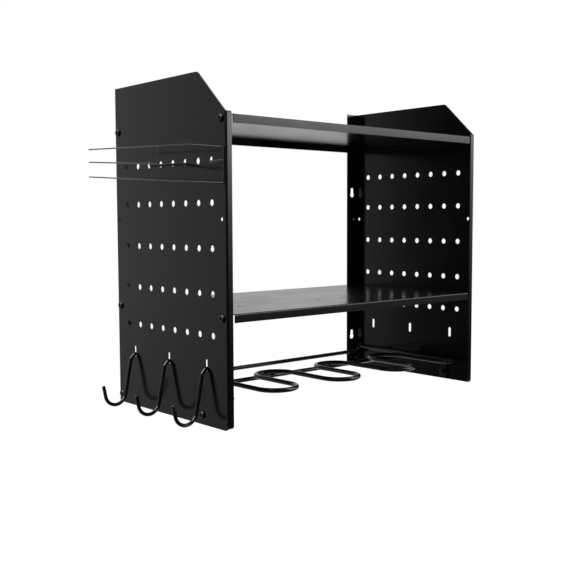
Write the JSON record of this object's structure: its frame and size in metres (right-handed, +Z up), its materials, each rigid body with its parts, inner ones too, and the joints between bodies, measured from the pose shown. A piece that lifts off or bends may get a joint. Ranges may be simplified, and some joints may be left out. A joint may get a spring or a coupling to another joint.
{
  "type": "wall mounted tool organizer",
  "caption": "Black steel wall organizer: two folded side panels with peg holes, two shelves, a waved rod for power tools, a wire side rack and swinging wrench hooks.",
  "frame": {"origin": "on the wall plane, midway between the two upper keyholes, at the height where the wall screws sit", "axes": "+X to the right for someone facing the wall, +Y into the wall, +Z up; the front faces -Y"},
  "size_m": [0.4941, 0.232, 0.402],
  "materials": {
    "panel_coat": "semi-gloss black powder coat",
    "shelf_coat": "semi-gloss black powder coat",
    "wire_coat": "gloss black coat on bent rod",
    "rack_coat": "gloss black coat on thin wire",
    "black_steel": "black oxide"
  },
  "bodies": {
    "organizer": {"left_side_panel": "panel_coat", "right_side_panel": "panel_coat", "top_shelf": "shelf_coat", "middle_shelf": "shelf_coat", "hanger_wave_rod": "wire_coat", "hanger_cross_rod": "wire_coat", "hanger_rear_rod": "wire_coat", "hanger_tab_front_left": "wire_coat", "hanger_tab_front_right": "wire_coat", "hanger_tab_back_left": "wire_coat", "hanger_tab_back_right": "wire_coat", "bolt_top_shelf_front_left": "black_steel", "bolt_top_shelf_front_right": "black_steel", "bolt_top_shelf_back_left": "black_steel", "bolt_top_shelf_back_right": "black_steel", "bolt_middle_shelf_front_left": "black_steel", "bolt_middle_shelf_front_right": "black_steel", "bolt_middle_shelf_back_left": "black_steel", "bolt_middle_shelf_back_right": "black_steel", "bolt_hanger_front_left": "black_steel", "bolt_hanger_front_right": "black_steel", "bolt_hanger_back_left": "black_steel", "bolt_hanger_back_right": "black_steel", "nut_top_shelf_front_left": "black_steel", "nut_top_shelf_front_right": "black_steel", "nut_top_shelf_back_left": "black_steel", "nut_top_shelf_back_right": "black_steel", "nut_middle_shelf_front_left": "black_steel", "nut_middle_shelf_front_right": "black_steel", "nut_middle_shelf_back_left": "black_steel", "nut_middle_shelf_back_right": "black_steel", "nut_hanger_front_left": "black_steel", "nut_hanger_front_right": "black_steel", "nut_hanger_back_left": "black_steel", "nut_hanger_back_right": "black_steel"},
    "side_rack": {"rack_frame": "rack_coat", "rack_middle_wire": "rack_coat", "rack_peg_back": "rack_coat", "rack_peg_front": "rack_coat"},
    "hook_back": {"wrench_hook_back": "wire_coat"},
    "hook_middle": {"wrench_hook_middle": "wire_coat"},
    "hook_front": {"wrench_hook_front": "wire_coat"}
  },
  "joints": [
    {"name": "side_rack_lift", "type": "slide", "parent": "organizer", "child": "side_rack", "axis": [0, 0, 1], "range_m": [0, 0.0039]},
    {"name": "hook_back_swing", "type": "hinge", "parent": "organizer", "child": "hook_back", "pos_m": [-0.22075, -0.0398, -0.22], "axis": [0, 1, 0], "range_deg": [0, 75]},
    {"name": "hook_middle_swing", "type": "hinge", "parent": "organizer", "child": "hook_middle", "pos_m": [-0.22075, -0.116, -0.22], "axis": [0, 1, 0], "range_deg": [0, 75]},
    {"name": "hook_front_swing", "type": "hinge", "parent": "organizer", "child": "hook_front", "pos_m": [-0.22075, -0.1922, -0.22], "axis": [0, 1, 0], "range_deg": [0, 75]}
  ]
}
